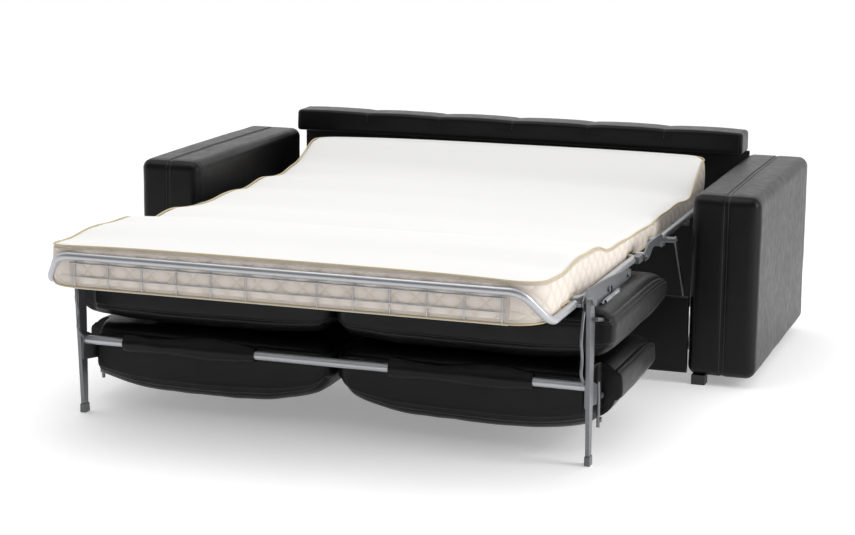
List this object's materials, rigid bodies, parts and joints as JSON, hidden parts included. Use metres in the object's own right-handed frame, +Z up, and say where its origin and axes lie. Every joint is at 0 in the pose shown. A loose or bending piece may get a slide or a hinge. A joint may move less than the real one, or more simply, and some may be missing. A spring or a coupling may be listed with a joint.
{
  "type": "sleeper sofa",
  "caption": "Black leather sleeper sofa with its bed pulled out: mattress on a folding steel frame, seat and back cushions hanging below it, padded arms and back rail.",
  "frame": {"origin": "on the floor, under the middle of the object's box with the bed open", "axes": "+Z up, +Y from the foot of the bed to the back of the sofa, +X to the right seen from the foot"},
  "size_m": [2.047, 2.178, 0.666],
  "materials": {
    "leather": "semi gloss grained black",
    "lining": "black lining cloth",
    "plastic": "matt",
    "mattress": "quilted ivory ticking",
    "bright_steel": "silver lacquer",
    "grey_steel": "grey lacquer"
  },
  "bodies": {
    "root": {"arm_left": "leather", "arm_right": "leather", "back_rail": "leather", "back_panel": "lining", "front_rail": "leather", "sofa_feet": "plastic", "base_plate_left": "grey_steel", "base_plate_right": "grey_steel", "base_pivot_pins": "grey_steel"},
    "lift_front": {"lift_link_front_left": "grey_steel", "lift_link_front_right": "grey_steel"},
    "lift_rear": {"lift_link_rear_left": "grey_steel", "lift_link_rear_right": "grey_steel"},
    "head": {"head_frame": "bright_steel", "lift_lugs": "grey_steel", "head_net": "bright_steel", "head_hinge_lugs": "grey_steel", "mattress_head": "mattress", "stay_lugs": "grey_steel"},
    "knee": {"knee_link_left": "grey_steel", "knee_link_right": "grey_steel", "knee_cross_rod": "bright_steel", "mattress_knee": "mattress"},
    "seat": {"seat_frame": "bright_steel", "seat_hinge_lugs": "grey_steel", "seat_net": "bright_steel", "gusset_left": "grey_steel", "gusset_right": "grey_steel", "spring_pins": "grey_steel", "leg_pivot_pins": "grey_steel", "foot_hinge_pins": "grey_steel", "seat_cushion_left": "leather", "seat_cushion_right": "leather", "seat_board": "lining", "mattress_seat": "mattress"},
    "foot": {"foot_rail": "bright_steel", "foot_net": "bright_steel", "foot_cross_bar": "bright_steel", "mattress_foot": "mattress"},
    "legs": {"leg_left": "grey_steel", "leg_right": "grey_steel", "leg_cap_left": "plastic", "leg_cap_right": "plastic", "cross_tube": "bright_steel", "tube_sleeve_left": "leather", "tube_sleeve_right": "leather", "cushion_bracket_left": "grey_steel", "cushion_bracket_right": "grey_steel"},
    "back": {"back_cushion_left": "leather", "back_cushion_right": "leather", "back_pivot_pins": "grey_steel"},
    "stays": {"stay_left": "grey_steel", "stay_right": "grey_steel"}
  },
  "joints": [
    {"name": "front_lift", "type": "hinge", "parent": "root", "child": "lift_front", "pos_m": [0, 0.31683, 0.08506], "axis": [1, 0, 0], "range_deg": [-48.6, 0]},
    {"name": "rear_lift", "type": "hinge", "parent": "root", "child": "lift_rear", "pos_m": [0, 0.48683, 0.08506], "axis": [1, 0, 0], "range_deg": [-48.6, 0]},
    {"name": "head_level", "type": "hinge", "parent": "lift_front", "child": "head", "pos_m": [0, 0.671, 0.438], "axis": [1, 0, 0], "range_deg": [0, 48.6]},
    {"name": "knee_fold", "type": "hinge", "parent": "head", "child": "knee", "pos_m": [0, 0.071, 0.45], "axis": [1, 0, 0], "range_deg": [-90.02, 0]},
    {"name": "seat_fold", "type": "hinge", "parent": "knee", "child": "seat", "pos_m": [0, -0.151, 0.45], "axis": [1, 0, 0], "range_deg": [-90, 0]},
    {"name": "foot_fold", "type": "hinge", "parent": "seat", "child": "foot", "pos_m": [0, -0.809, 0.444], "axis": [1, 0, 0], "range_deg": [0, 90.02]},
    {"name": "leg_tilt", "type": "hinge", "parent": "seat", "child": "legs", "pos_m": [0, -0.782, 0.448], "axis": [1, 0, 0], "range_deg": [-4.02, 0]},
    {"name": "back_fold", "type": "hinge", "parent": "legs", "child": "back", "pos_m": [0, -0.642, 0.162], "axis": [1, 0, 0], "range_deg": [-90.02, 0]},
    {"name": "stay_fold", "type": "hinge", "parent": "head", "child": "stays", "pos_m": [0, 0.184, 0.44], "axis": [1, 0, 0], "range_deg": [0, 53.52]}
  ],
  "couplings": [
    {"joint": "front_lift", "follows": "seat_fold", "ratio": 0.53974},
    {"joint": "rear_lift", "follows": "seat_fold", "ratio": 0.53974},
    {"joint": "head_level", "follows": "seat_fold", "ratio": -0.53974},
    {"joint": "knee_fold", "follows": "seat_fold", "ratio": 1},
    {"joint": "foot_fold", "follows": "seat_fold", "ratio": -1},
    {"joint": "leg_tilt", "follows": "seat_fold", "ratio": 0.044444},
    {"joint": "back_fold", "follows": "seat_fold", "ratio": 1},
    {"joint": "stay_fold", "follows": "seat_fold", "ratio": -0.59444}
  ]
}
